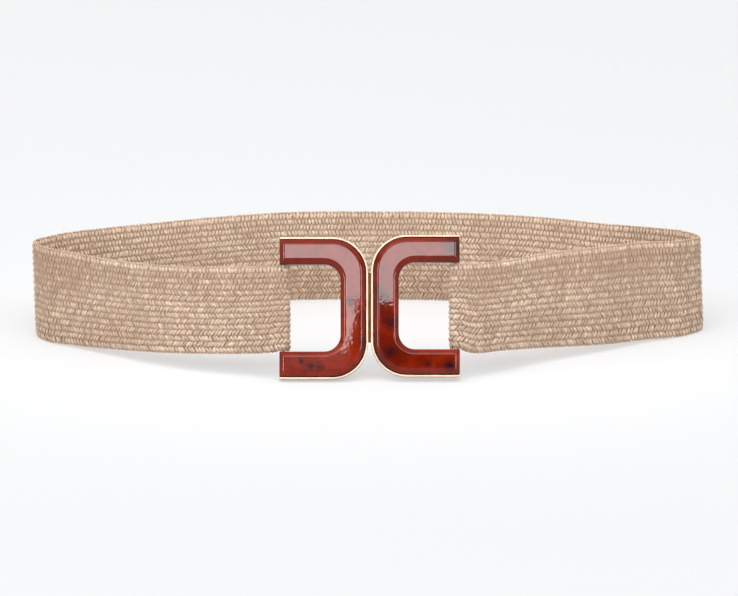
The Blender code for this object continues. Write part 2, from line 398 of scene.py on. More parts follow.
def makeCoreMaterial():
    material, tree, shader, places = newMaterial("elastic_core", Roughness=0.9)
    patches = useGroup(tree, mottle, Vector=places["Object"], Scale=300.0, Low=0.3, High=0.7)["Mask"]
    tree.links.new(addMix(tree, patches, coreLook["dark"], coreLook["light"]), shader.inputs["Base Color"])
    addBump(tree, shader, patches, 0.4, 0.0001)
    return material


threadLook = {
    "dark": (0.30, 0.19, 0.11, 1),
    "light": (0.56, 0.41, 0.27, 1),
}


def makeThreadMaterial():
    material, tree, shader, places = newMaterial("sewing_thread", Roughness=0.6, Sheen_Weight=0.2)
    twist = useGroup(tree, spunStrand, Vector=places["UV"], Turns=0.8, Plies=3.0)["Twist"]
    tree.links.new(addMix(tree, twist, threadLook["dark"], threadLook["light"]), shader.inputs["Base Color"])
    addBump(tree, shader, twist, 0.5, 0.0001)
    return material


goldLook = {
    "dark": (0.38, 0.270, 0.195, 1),
    "light": (0.44, 0.330, 0.245, 1),
    "paintedRecessShade": (0.030, 0.012, 0.006, 1),   # painted shade inside the tray, round the resin
    "patchScale": 180.0,
    "wearScale": 900.0,
    "rough": (0.42, 0.55),
    "relief": (0.05, 0.00004),            # strength and depth of the scratches
}

# the clasp behind: a darker brass, darkened further with painted shade for the gap between the halves, duller
# than the rims
shadedBrassLook = {
    "dark": (0.062, 0.027, 0.011, 1),
    "light": (0.098, 0.047, 0.020, 1),
    "patchScale": 260.0,
    "wearScale": 700.0,
    "rough": (0.38, 0.55),
    "relief": (0.2, 0.00005),
}


def makeMetalMaterial(name, look):
    material, tree, shader, places = newMaterial(name, Metallic=1.0)
    place = places["Object"]
    wear = useGroup(tree, handlingWear, Vector=place, Scale=look["wearScale"], Amount=1.0)["Mask"]
    patches = useGroup(tree, mottle, Vector=place, Scale=look["patchScale"], Low=0.3, High=0.7)["Mask"]
    colour = addMix(tree, patches, look["dark"], look["light"])
    # painted shade in the tray round the resin, where its faces are marked
    if "paintedRecessShade" in look:
        colour = addMix(tree, addAttribute(tree, "paintedRecessShade"), colour, look["paintedRecessShade"])
    tree.links.new(colour, shader.inputs["Base Color"])
    tree.links.new(addRange(tree, wear, 0.0, 1.0, *look["rough"]), shader.inputs["Roughness"])
    addBump(tree, shader, wear, *look["relief"])
    return material


resinLook = {
    "light": (0.290, 0.019, 0.0025, 1),
    "dark": (0.150, 0.008, 0.001, 1),
    "flecks": (0.085, 0.004, 0.001, 1),
    "patches": (0.008, 0.005, 0.008, 1),
    "paintedSeamShade": (0.020, 0.006, 0.004, 1),    # painted shade down where the resin meets the rim
    "evenFrom": (0.032, 0.044),          # heights between which the upper part turns evener
    # across, up and size of the darker patches, in millimetres from the buckle's foot
    "patchPlaces": (
        (10.1, 28.2, 7.5), (10.1, 13.1, 6.0), (6.2, 39.9, 6.5), (4.4, 43.5, 4.0), (41.2, 64.8, 9.5),
        (38.8, 6.8, 5.0), (28.1, 7.3, 3.2), (-24.5, 5.8, 3.8), (-28.4, 5.8, 3.4), (-9.9, 38.5, 3.4),
        (-2.6, 17.5, 3.2), (-33.0, 8.5, 2.4),
    ),
    "patchDepth": 0.0020,                # in front of the rim
    "patchShare": 0.97,
    "fleckShare": 0.35,
    "seamShadeShare": 0.92,
    "seamShadeDepths": (-0.0002, 0.0008),     # from the rim's level outwards
    "pebbles": 0.22,
    "rough": (0.020, 0.038),
}


def makeResinMaterial():
    material, tree, shader, places = newMaterial("tortoiseshell_resin", IOR=1.33)
    place = places["Object"]
    look = resinLook
    outwards = Vector((0, -math.cos(buckle["lean"]), math.sin(buckle["lean"])))
    upwards = Vector((0, math.sin(buckle["lean"]), math.cos(buckle["lean"])))
    broad = useGroup(tree, mottle, Vector=place, Scale=58.0, Distortion=0.6, Low=0.35, High=0.68)["Mask"]
    small = useGroup(tree, mottle, Vector=place, Scale=210.0, Distortion=0.9, Low=0.42, High=0.66)["Mask"]
    height = addNode(tree, "ShaderNodeSeparateXYZ", Vector=place).outputs["Z"]
    even = addRange(tree, height, *look["evenFrom"], 0.0, 0.7)
    cloudy = addMix(tree, even, broad, (0.75, 0.75, 0.75, 1))
    colour = addMix(tree, cloudy, look["light"], look["dark"])
    colour = addMix(tree, addMath(tree, "MULTIPLY", small, look["fleckShare"]), colour, look["flecks"])
    dark = 0.0
    for across, up, size in look["patchPlaces"]:
        middle = buckleFoot + upwards * up / 1000 + Vector((across / 1000, 0, 0))
        middle += outwards * (buckle["trayDepth"] + look["patchDepth"])
        spot = useGroup(tree, resinSpot, Vector=place, Place=middle, Radius=size / 1000)["Mask"]
        dark = addMath(tree, "MAXIMUM", dark, spot)
    ragged = addMath(tree, "MULTIPLY", dark, addRange(tree, small, 0.0, 1.0, 0.75, 1.0))
    ragged = addMath(tree, "MULTIPLY", ragged, look["patchShare"])
    colour = addMix(tree, ragged, colour, look["patches"])
    # painted shade on the resin's lowest part, where it meets the rim
    depth = addMath(tree, "DOT_PRODUCT", place, outwards, kind="ShaderNodeVectorMath")
    rimLevel = buckleFoot.dot(outwards) + buckle["trayDepth"]
    low, high = look["seamShadeDepths"]
    paintedSeamShade = addRange(tree, depth, rimLevel + low, rimLevel + high, look["seamShadeShare"], 0.0)
    colour = addMix(tree, paintedSeamShade, colour, look["paintedSeamShade"])
    tree.links.new(colour, shader.inputs["Base Color"])
    wear = useGroup(tree, handlingWear, Vector=place, Scale=700.0, Amount=1.0)["Mask"]
    tree.links.new(addRange(tree, wear, 0.0, 1.0, *look["rough"]), shader.inputs["Roughness"])
    wavy = addNoise(tree, place, 42.0, Detail=2.0)
    pebbled = addMath(tree, "MULTIPLY", addNoise(tree, place, 620.0, Detail=1.0), look["pebbles"])
    addBump(tree, shader, addMath(tree, "ADD", wavy, pebbled), 0.05, 0.0004)
    return material


jute = makeJuteMaterial()
elastic = makeCoreMaterial()
thread = makeThreadMaterial()
gold = makeMetalMaterial("brushed_gold", goldLook)
# the clasp's brass, darkened with painted shade
shadedClaspBrass = makeMetalMaterial("shaded_clasp_brass", shadedBrassLook)
resin = makeResinMaterial()
print("materials made")


# the buckle: each piece is made upright for the left half, then copied, turned over and leant back

frameShape = {
    "rimWidth": 0.0010,
    "rimRounding": 0.00022,
    "sunk": 0.00005,           # keeps faces of the joined metal parts from lying in one plane
    "barSides": 24,
    "barEndBevel": (0.0003, 0.0002),
    "cornerSegments": 20,
    "recessShadeStart": 0.7,        # the tray's inside, with its painted shade, starts this share of the rim's width from its edge
}

inlayShape = {
    "proud": 0.0020,           # how far the resin stands in front of the rim
    "bevelWidth": 0.0022,
    "bevelDepth": 0.0016,
    "faceShift": 0.0003,       # the flat face sits a little high between its bevels
    "rounding": 0.00065,
    "cornerSegments": 20,
}

claspShape = {
    "width": 0.022,
    "height": 0.034,
    "thickness": 0.0015,
    "radius": 0.003,
    "rounding": 0.0003,
}


def limbFace(name, outerInset, innerInset, endInset, depth, segments):
    # the U of the left half as one flat face: arm, corner, leg, corner, arm
    limb = buckle["limbWidth"] - outerInset - innerInset
    top = buckle["height"] - outerInset
    bottom = outerInset
    right = -buckle["gap"] / 2 - outerInset
    left = -buckle["gap"] / 2 - buckle["width"] + endInset
    arm = right - limb - left
    face = addSheet(name, (left + arm / 2, -depth, top - limb / 2), (arm, 1, limb), "front")
    pick("EDGE", lambda p: near(p.x, right - limb))
    push((limb, 0, 0))
    pick("EDGE", lambda p: near(p.z, top - limb) and p.x > right - limb)
    push((0, 0, -(top - bottom - 2 * limb)))
    push((0, 0, -limb))
    pick("EDGE", lambda p: near(p.x, right - limb) and p.z < bottom + limb)
    push((-arm, 0, 0))
    joinDoubles()
    bpy.ops.mesh.dissolve_faces()
    pick("VERT", lambda p: near(p.x, right) and near(p.z, top - limb, bottom + limb)
         or near(p.x, right - limb) and near(p.z, top, bottom))
    bpy.ops.mesh.dissolve_verts()
    pick("VERT", lambda p: near(p.x, right))
    roundCorners(buckle["outerRadius"] - outerInset, segments)
    pick("VERT", lambda p: near(p.x, right - limb) and near(p.z, top - limb, bottom + limb))
    roundCorners(buckle["innerRadius"] + innerInset, segments)
    pickAll("FACE")
    return face


def leanBack(piece):
    # tips an upright piece back about the buckle's foot and sets it in its place
    selectOnly(piece)
    piece.rotation_euler = (-buckle["lean"], 0, 0)
    piece.location = buckleFoot
    bpy.ops.object.transform_apply()


def mirroredCopy(piece, name):
    # the same piece for the right half, with its own mesh
    selectOnly(piece)
    bpy.ops.object.duplicate(linked=False)
    twin = bpy.context.object
    twin.name = name
    twin.data.name = name
    startEdit(twin)
    pickAll()
    bpy.ops.transform.resize(value=(-1, 1, 1), center_override=(0, 0, 0))
    bpy.ops.transform.translate(value=(0, 0, buckle["rightRaise"]))
    bpy.ops.mesh.normals_make_consistent(inside=False)
    bpy.ops.object.mode_set(mode="OBJECT")
    return twin


def softenEdges(piece, width, segments):
    addModifier(piece, "BEVEL", width=width, segments=segments, limit_method="ANGLE",
                angle_limit=math.radians(25), use_clamp_overlap=True)
    addModifier(piece, "WEIGHTED_NORMAL", keep_sharp=False, weight=80)
    selectOnly(piece)
    bpy.ops.object.shade_smooth()
    for modifier in list(piece.modifiers):
        bpy.ops.object.modifier_apply(modifier=modifier.name)


def makeRim(name):
    # a thin wall along the outer edge: arm, turned corner, leg, turned corner, arm
    width = frameShape["rimWidth"]
    depth = buckle["trayDepth"]
    radius = buckle["outerRadius"]
    top = buckle["height"]
    right = -buckle["gap"] / 2
    left = right - buckle["width"]
    turn = {"steps": frameShape["cornerSegments"], "angle": -math.pi / 2, "axis": (0, 1, 0)}
    rim = addSheet(name, (left, -depth / 2, top - width / 2), (1, depth, width), "side")
    push((right - radius - left, 0, 0))
    bpy.ops.mesh.spin(center=(right - radius, 0, top - radius), **turn)
    push((0, 0, -(top - 2 * radius)))
    bpy.ops.mesh.spin(center=(right - radius, 0, radius), **turn)
    push((left - (right - radius), 0, 0))
    closeShell()
    return rim


def makeFloor(name):
    sunk = frameShape["sunk"]
    plate = limbFace(name, frameShape["rimWidth"] / 2, 0, sunk, sunk, frameShape["cornerSegments"])
    push((0, -(buckle["trayFloor"] - sunk), 0))
    closeShell()
    return plate


def makeBar(name):
    # its ends reach to the middle of the arms
    length = buckle["height"] - buckle["limbWidth"]
    middle = buckle["height"] / 2
    deselectAll()
    bpy.ops.mesh.primitive_cylinder_add(
        vertices=frameShape["barSides"], radius=buckle["barDiameter"] / 2, depth=length,
        location=(-buckle["gap"] / 2 - buckle["width"] + buckle["barInset"], -buckle["barDepth"], middle))
    bar = bpy.context.object
    bar.name = name
    bpy.ops.object.transform_apply()
    startEdit(bar)
    pick("FACE", lambda p: near(p.z, middle - length / 2, middle + length / 2))
    thickness, depth = frameShape["barEndBevel"]
    bpy.ops.mesh.inset(thickness=thickness, depth=depth)
    bpy.ops.object.mode_set(mode="OBJECT")
    return bar


def markRecessShade(piece):
    # the tray's inside round the resin, which gets painted shade
    radius = buckle["outerRadius"]
    right = -buckle["gap"] / 2
    paintedRecessShade = piece.data.attributes.new("paintedRecessShade", "FLOAT", "FACE")
    for face in piece.data.polygons:
        x, y, z = face.center
        fromEnd = min(buckle["height"] - z, z)
        inset = min(fromEnd, right - x)
        onLimb = inset < buckle["limbWidth"] * 1.01
        if x > right - radius and fromEnd < radius:
            inset = radius - math.hypot(x - right + radius, radius - fromEnd)
        inside = inset > frameShape["recessShadeStart"] * frameShape["rimWidth"]
        hidden = -buckle["trayDepth"] + 0.0001 < y < -buckle["trayFloor"] * 0.5
        paintedRecessShade.data[face.index].value = 1.0 if onLimb and inside and hidden else 0.0


def makeFrames():
    rim = makeRim("leftFrame")
    plate = makeFloor("leftFrameFloor")
    bar = makeBar("leftFrameBar")
    deselectAll()
    for part in (plate, bar, rim):
        part.select_set(True)
    bpy.context.view_layer.objects.active = rim
    bpy.ops.object.join()
    markRecessShade(rim)
    twin = mirroredCopy(rim, "rightFrame")
    for piece, node in ((rim, "left_frame"), (twin, "right_frame")):
        softenEdges(piece, frameShape["rimRounding"], 3)
        leanBack(piece)
        startEdit(piece)
        pickAll()
        bpy.ops.mesh.dissolve_degenerate(threshold=0.000002)
        deselectAll()
        finishPiece(piece, gold, "gold_metal", node)
    print("buckle frames made")


def makeInlays():
    back = buckle["trayFloor"] + buckle["clearance"]
    front = buckle["trayDepth"] + inlayShape["proud"]
    edge = frameShape["rimWidth"] + buckle["clearance"]
    inlay = limbFace("leftInlay", edge, 0, 0, back, inlayShape["cornerSegments"])
    push((0, -(front - inlayShape["bevelDepth"] - back), 0))
    bpy.ops.mesh.inset(thickness=inlayShape["bevelWidth"], depth=inlayShape["bevelDepth"])
    bpy.ops.transform.translate(value=(0, 0, inlayShape["faceShift"]))
    closeShell()
    twin = mirroredCopy(inlay, "rightInlay")
    for piece, node in ((inlay, "left_inlay"), (twin, "right_inlay")):
        softenEdges(piece, inlayShape["rounding"], 4)
        leanBack(piece)
        finishPiece(piece, resin, "tortoise_resin", node)
    print("resin inlays made")


def makeClasp():
    size = (claspShape["width"], 1, claspShape["height"])
    middle = buckle["height"] / 2 + buckle["rightRaise"] / 2
    depth = buckle["clearance"] + claspShape["thickness"]
    clasp = addSheet("claspPlate", (0, depth, middle), size, "front")
    pickAll("VERT")
    roundCorners(claspShape["radius"], 8)
    pickAll("FACE")
    push((0, -claspShape["thickness"], 0))
    closeShell()
    softenEdges(clasp, claspShape["rounding"], 3)
    leanBack(clasp)
    finishPiece(clasp, shadedClaspBrass, "gold_metal", "clasp_plate")
    print("clasp plate made")


makeFrames()
makeInlays()
makeClasp()


# the band's run: left tab, fold round the left bar, once round the waist, right fold, right tab

bandRun = {
    "width": 0.050,
    "thickness": 0.0026,
    "ribRelief": 0.0004,
    "loopHalfWidth": 0.168,
    "loopDepth": 0.125,
    "tabLength": 0.028,
    "tabClosing": 0.4,
    "foldSteps": 28,
    "pathStep": 0.001,
}

# x, y: lower edge, as shares of loopHalfWidth and loopDepth; lift, lean: as shares of what they are
# at the buckle; side: sideways shift of the upper edge; spread: 0 between the arms, 1 at full width
wallRows = (
    (-0.290, 0.023, 0.89, 0.96, 0, 0.12),
    (-0.345, 0.038, 0.81, 0.91, 0, 0.14),
    (-0.565, 0.125, 0.55, 0.77, 0, 0.20),
    (-0.765, 0.280, 0.23, 0.50, 0, 0.44),
    (-0.881, 0.377, 0.08, 0.30, 0, 0.75),
    (-0.976, 0.468, 0, 0.05, 0, 1.00),
    (-1.003, 0.541, 0, 0, 0, 1.00),
    (-0.948, 0.629, 0, 0, 0, 1.00),
    (-0.800, 0.742, 0, 0, 0, 0.95),
    (-0.660, 0.822, 0, 0, 0, 0.90),
    (-0.468, 0.922, 0, 0, 0, 0.86),
    (-0.258, 0.988, 0, 0, 0, 0.86),
    (0.006, 1.000, 0, 0, 0, 0.86),
    (0.228, 0.988, 0, 0, 0, 0.86),
    (0.536, 0.914, 0, 0, 0, 0.86),
    (0.714, 0.815, 0, 0, 0, 0.90),
    (0.870, 0.744, 0, 0, -0.030, 0.95),
    (0.966, 0.686, 0, 0, -0.055, 1.00),
    (1.009, 0.614, 0, 0, -0.064, 1.00),
    (0.960, 0.534, 0, 0.18, -0.050, 1.00),
    (0.830, 0.442, 0.09, 0.50, -0.030, 1.00),
    (0.697, 0.329, 0.25, 0.68, -0.015, 0.93),
    (0.507, 0.189, 0.55, 0.86, 0, 0.64),
    (0.383, 0.082, 0.78, 0.94, 0, 0.32),
    (0.295, 0.032, 0.87, 0.97, 0, 0.24),
)


def unit(vectors):
    return vectors / np.maximum(np.linalg.norm(vectors, axis=-1, keepdims=True), 1e-9)


def wayAlong(places):
    # how far along a run of places each one is
    return np.concatenate([[0.0], np.cumsum(np.linalg.norm(np.diff(places, axis=0), axis=1))])


def neckHalfWidth():
    return buckle["height"] / 2 - buckle["limbWidth"] - buckle["clearance"]


def foldRadius():
    return buckle["barDiameter"] / 2 + buckle["clearance"] + bandRun["thickness"] / 2


def buckleRow(side, u, d):
    # lower and upper edge of the band where it passes between one half's arms
    row = []
    for v in (-neckHalfWidth(), neckHalfWidth()):
        up = buckle["height"] / 2 + v + (buckle["rightRaise"] if side > 0 else 0)
        lean = buckle["lean"]
        row += [side * (buckle["gap"] / 2 + buckle["width"] - u),
                up * math.sin(lean) - d * math.cos(lean),
                up * math.cos(lean) + d * math.sin(lean)]
    return row


def foldRows(side):
    rows = []
    for step in range(bandRun["foldSteps"] + 1):
        angle = math.pi * step / bandRun["foldSteps"]
        rows.append(buckleRow(side, buckle["barInset"] + foldRadius() * math.sin(angle),
                              buckle["barDepth"] + foldRadius() * math.cos(angle)))
    return np.array(rows)


def wallRow(x, y, lift, lean, side, spread):
    lean = buckle["lean"] * lean
    neck = 2 * neckHalfWidth()
    width = neck + (bandRun["width"] - neck) * spread
    drop = (bandRun["thickness"] / 2 - bandRun["ribRelief"]) * math.hypot(math.sin(lean), side)
    lift = foldRows(-1)[0][2] * lift + drop
    x = bandRun["loopHalfWidth"] * x
    y = bandRun["loopDepth"] * y
    upright = width * math.sqrt(1 - side ** 2)
    return [x, y, lift, x + width * side, y + upright * math.sin(lean), lift + upright * math.cos(lean)]


def smoothRows(rows, endWay):
    # a smooth run through the rows, which starts and ends the given way
    lengths = np.linalg.norm(np.diff(rows[:, :3], axis=0), axis=1)
    slopes = np.diff(rows, axis=0) / lengths[:, None]
    weight = lengths[:-1] / (lengths[:-1] + lengths[1:])
    between = slopes[:-1] * (1 - weight)[:, None] + slopes[1:] * weight[:, None]
    between /= np.linalg.norm(between[:, :3], axis=1)[:, None]
    tangents = np.vstack([endWay, between, endWay])
    runs = []
    for index, length in enumerate(lengths):
        t = np.linspace(0, 1, max(2, round(length / bandRun["pathStep"])), endpoint=False)[:, None]
        runs.append((1 + 2 * t) * (1 - t) ** 2 * rows[index]
                    + t * (1 - t) ** 2 * length * tangents[index]
                    + t ** 2 * (3 - 2 * t) * rows[index + 1]
                    - t ** 2 * (1 - t) * length * tangents[index + 1])
    return np.vstack(runs + [rows[-1:]])


def rowFrames(rows):
    # the middle line of the rows, their directions up and out, their width and how far along they are
    middle = (rows[:, :3] + rows[:, 3:]) / 2
    up = rows[:, 3:] - rows[:, :3]
    out = unit(np.cross(unit(up), np.gradient(middle, axis=0)))
    return middle, unit(up), out, np.linalg.norm(up, axis=1), wayAlong(middle)


def tabRows(wall, inwards):
    along = rowFrames(wall)[4]
    kept = along <= bandRun["tabLength"]
    closing = np.clip(along[kept] / bandRun["tabLength"] / bandRun["tabClosing"], 0, 1)
    closing = closing ** 2 * (3 - 2 * closing)
    wide = 2 * foldRadius()
    narrow = bandRun["thickness"] + buckle["clearance"]
    shift = inwards[kept] * (wide + (narrow - wide) * closing)[:, None]
    return wall[kept] + np.hstack([shift, shift])


def makeRun():
    leftFold = foldRows(-1)
    rightFold = foldRows(1)
    outside = buckle["barDepth"] + foldRadius()
    rows = [leftFold[0], buckleRow(-1, 0.0, outside)]
    rows += [wallRow(*row) for row in wallRows]
    rows += [buckleRow(1, 0.0, outside), rightFold[0]]
    way = np.array([-1.0, 0, 0, -1.0, 0, 0])
    wall = smoothRows(np.array(rows), way)
    out = rowFrames(wall)[2]
    leftTab = tabRows(wall, -out)[::-1]
    rightTab = tabRows(wall[::-1], -out[::-1])
    rows = np.vstack([leftTab[:-1], leftFold[::-1][:-1], wall[:-1], rightFold[:-1], rightTab])
    rows = rows + np.tile(np.array(buckleFoot), 2)
    return dict(zip(("middle", "up", "out", "width", "along"), rowFrames(rows)))


run = makeRun()
runLength = run["along"][-1]


def widthAt(s):
    return np.interp(s, run["along"], run["width"])


def onRun(s, v, n):
    # world places of points s along the band, v up from its middle line and n out of its middle surface
    place = np.empty((len(s), 3))
    for axis in range(3):
        middle = np.interp(s, run["along"], run["middle"][:, axis])
        up = np.interp(s, run["along"], run["up"][:, axis])
        out = np.interp(s, run["along"], run["out"][:, axis])
        place[:, axis] = middle + up * v + out * n
    past = s - np.clip(s, 0, runLength)
    before = run["middle"][0] - run["middle"][1]
    beyond = run["middle"][-1] - run["middle"][-2]
    ends = unit(np.where(past[:, None] < 0, before, beyond))
    return place + ends * np.abs(past)[:, None]


def placeRings(rings):
    # the same for rings of points, each given as s, v and n
    return onRun(*rings.reshape(-1, 3).T)


# tubes in mesh code: the operators have no way to weave a thousand bent strands

def buildTubes(name, places, counts, sides, uvAlong, attributes):
    # places holds rings of points, counts how many rings each closed tube has
    mesh = bpy.data.meshes.new(name)
    rings = len(places) // sides
    starts = np.concatenate([[0], np.cumsum(counts)[:-1]])
    ends = np.cumsum(counts) - 1
    linked = np.ones(rings, bool)
    linked[ends] = False
    ring = np.nonzero(linked)[0]
    side = np.arange(sides)
    after = (side + 1) % sides
    low = ring[:, None] * sides
    high = low + sides
    quads = np.stack([low + side, low + after, high + after, high + side], axis=2).reshape(-1, 4)
    firstCaps = starts[:, None] * sides + side[::-1]
    lastCaps = ends[:, None] * sides + side
    loops = np.concatenate([quads.ravel(), firstCaps.ravel(), lastCaps.ravel()]).astype(np.int32)
    sizes = np.concatenate([np.full(len(quads), 4), np.full(2 * len(counts), sides)]).astype(np.int32)
    mesh.vertices.add(len(places))
    mesh.vertices.foreach_set("co", places.astype(np.float32).ravel())
    mesh.loops.add(len(loops))
    mesh.loops.foreach_set("vertex_index", loops)
    mesh.polygons.add(len(sizes))
    mesh.polygons.foreach_set("loop_start", (np.cumsum(sizes) - sizes).astype(np.int32))
    mesh.polygons.foreach_set("loop_total", sizes)
    mesh.update(calc_edges=True)
    uv = np.stack([uvAlong[loops // sides], loops % sides / sides], axis=1).astype(np.float32)
    closing = uv[:quads.size].reshape(-1, 4, 2)[:, 1:3, 1]
    closing[closing == 0] = 1                    # where the last side meets the first again
    layer = mesh.uv_layers.new(name="strand")
    layer.data.foreach_set("uv", uv.ravel())
    for key, values in attributes.items():
        attribute = mesh.attributes.new(key, "FLOAT", "POINT")
        attribute.data.foreach_set("value", values.astype(np.float32))
    mesh.polygons.foreach_set("use_smooth", np.ones(len(sizes), bool))
    mesh.validate()
    piece = bpy.data.objects.new(name, mesh)
    bpy.context.scene.collection.objects.link(piece)
    return piece


def ringPoints(centers, halfWide, halfThick, sides, turn=0.0):
    # rings round a run of centres given along, up and out of the band's surface
    way = unit(np.gradient(centers, axis=-2))
    wide = unit(np.cross(way, np.array([0.0, 0.0, 1.0])))
    thick = np.cross(wide, way)
    angle = np.arange(sides) / sides * math.tau + turn
    across = (np.cos(angle) * halfWide[..., None])[..., None]
    through = (np.sin(angle) * halfThick[..., None])[..., None]
    return centers[..., None, :] + wide[..., None, :] * across + thick[..., None, :] * through


# the woven yarn

weave = {
    "ribs": 15,
    "pitch": 0.00090,          # from one pass of the yarn to the next
    "swing": 0.00070,          # how far a stitch stands in front of or behind the middle
    "halfThick": 0.00050,
    "halfWide": 0.00081,       # at the middle of a stitch
    "halfNarrow": 0.00041,     # where the yarn dives between two rows
    "edge": 0.00085,           # what the turns at the edges take
    "slant": 0.00110,          # sideways zigzag of the lower rows
    "calm": 0.187,             # where the band turns round the side, from its end: less zigzag there
    "passStray": 0.00008,      # unevenness of whole passes, of single crossings and of the rows
    "knotStray": 0.00016,
    "rowWander": 0.00013,
    "liftSpread": 0.10,        # unevenness of a stitch's lift and width, and of the yarn's thickness
    "fatSpread": 0.14,
    "slubSpread": 0.05,
    "tintMiddle": 0.5,         # 0 is the dark yarn colour, 1 the light one, below 0 in shadow
    "tintSpread": 0.40,
    "tintDrift": 0.12,
    "diveShade": 0.55,              # painted shade where the yarn dives between rows: how much darker
    "selvageAndGrooveShade": (0.35, 0.25),   # a pale last row over a row darkened with painted shade
    "turnRise": 0.45,          # the round turns at the edges, as a share of the pitch
    "turnFat": 1.1,            # their thickness, as a share of the yarn's
    "turnTint": 0.15,
    "innerLightAndShade": ((0, 5, 15), (-1.0, -0.1, 1.0)),    # painted light and shade on the inner side: darker at the lower row, lighter towards the top
    # painted shade over the whole outer side
    "outerShade": -0.22,
    "topRowShade": ((9, 11, 13.5, 14.5), (0, 0.55, 0.55, 0)),    # painted shade: darker rows under the outer side's top
    "stepsPerRib": 4,
    "sides": 6,
    "pieces": 4,
}

weaveTop = weave["swing"] + weave["halfThick"]


def smoothNoise(count, step, size):
    # slow random wander with one new value every few steps
    knots = chance.normal(0, size, count // step + 3)
    return np.interp(np.arange(count), np.arange(len(knots)) * step, knots)


def makeYarnCenters():
    ribs = weave["ribs"]
    steps = weave["stepsPerRib"]
    passes = int(runLength / weave["pitch"])
    pitch = runLength / passes
    count = ribs * steps + 1
    share = np.arange(count) / steps             # 0 at the lower edge, ribs at the upper
    rib = np.minimum(share.astype(int), ribs - 1)
    inRib = share - rib
    bulge = np.sin(math.pi * inRib)
    s = (np.arange(passes) + 0.5)[:, None] * pitch + np.zeros((1, count))
    s += chance.normal(0, weave["passStray"], (passes, 1))
    s += chance.normal(0, weave["knotStray"], (passes, ribs + 1))[:, np.rint(share).astype(int)]
    strength = np.clip((ribs - share) / 4 - 0.3, 0.2, 1)
    fromTurn = np.minimum(np.abs(s - weave["calm"]), np.abs(runLength - s - weave["calm"]))
    strength = strength * (1 - 0.55 * np.exp(-(fromTurn / 0.055) ** 2))
    zigzag = np.where(np.arange(ribs + 1) % 2, 1.0, -1.0)
    s += weave["slant"] * strength * np.interp(share, np.arange(ribs + 1), zigzag)
    wander = np.stack([smoothNoise(passes, 9, weave["rowWander"]) for knot in range(ribs + 1)], axis=1)
    wander = np.array([np.interp(share, np.arange(ribs + 1), row) for row in wander])
    v = (share / ribs - 0.5) * (widthAt(s) - 2 * weave["edge"])
    v += wander * np.minimum(share, ribs - share).clip(0, 1)
    sign = np.where((np.arange(passes)[:, None] + rib[None, :]) % 2, 1.0, -1.0)
    lift = 1 + chance.normal(0, weave["liftSpread"], (passes, ribs))[:, rib]
    n = weave["swing"] * sign * lift * bulge ** 1.15
    fat = 1 + chance.normal(0, weave["fatSpread"], (passes, ribs)).clip(-0.3, 0.3)[:, rib]
    fat += 0.12 * (rib == ribs - 1)
    slub = 1 + np.stack([smoothNoise(passes, 3, weave["slubSpread"]) for row in range(ribs)], axis=1)[:, rib]
    halfWide = (weave["halfNarrow"] + (weave["halfWide"] - weave["halfNarrow"]) * bulge ** 0.8) * fat
    halfThick = weave["halfThick"] * (0.86 + 0.14 * bulge) * slub
    shade = chance.normal(weave["tintMiddle"], weave["tintSpread"], (passes, ribs))[:, rib]
    shade += smoothNoise(passes, 12, weave["tintDrift"])[:, None]
    # painted shade where the yarn dives between rows
    shade -= weave["diveShade"] * (1 - bulge) ** 2
    # the pale last row, and painted shade on the row under it
    shade += weave["selvageAndGrooveShade"][0] * (rib == ribs - 1) - weave["selvageAndGrooveShade"][1] * (rib == ribs - 2)
    # painted light and shade up the inner side, painted shade on the outer side
    shade += np.where(sign < 0, np.interp(share, *weave["innerLightAndShade"]), weave["outerShade"])
    # painted shade on the rows under the outer side's top
    shade -= (sign > 0) * np.interp(share, *weave["topRowShade"])
    return passes, pitch, s, v, n, halfWide, halfThick, shade


def joinPasses(passes, pitch, s, v, n, halfWide, halfThick, shade):
    # one yarn: every other pass runs down, and a round turn joins each pass to the next
    turnSteps = np.array([0.2, 0.5, 0.8]) * math.pi
    centers, wide, thick, tintsAndShades = [], [], [], []
    for k in range(passes):
        down = k % 2 == 1
        order = slice(None, None, -1) if down else slice(None)
        centers.append(np.stack([s[k][order], v[k][order], n[k][order]], axis=1))
        wide.append(halfWide[k][order])
        thick.append(halfThick[k][order])
        tintsAndShades.append(shade[k][order])
        if k == passes - 1:
            continue
        last = centers[-1][-1]
        rise = pitch * weave["turnRise"] * (-1 if down else 1)
        reach = (s[k + 1][0 if down else -1] - last[0]) / 2
        turn = np.stack([last[0] + reach * (1 - np.cos(turnSteps)),
                         last[1] + rise * np.sin(turnSteps),
                         np.zeros(3)], axis=1)
        centers.append(turn)
        wide.append(np.full(3, weave["halfNarrow"]))
        thick.append(np.full(3, weave["halfThick"] * weave["turnFat"]))
        tintsAndShades.append(np.full(3, tintsAndShades[-1][-1] + weave["turnTint"]))
    return [np.concatenate(part) for part in (centers, wide, thick, tintsAndShades)]


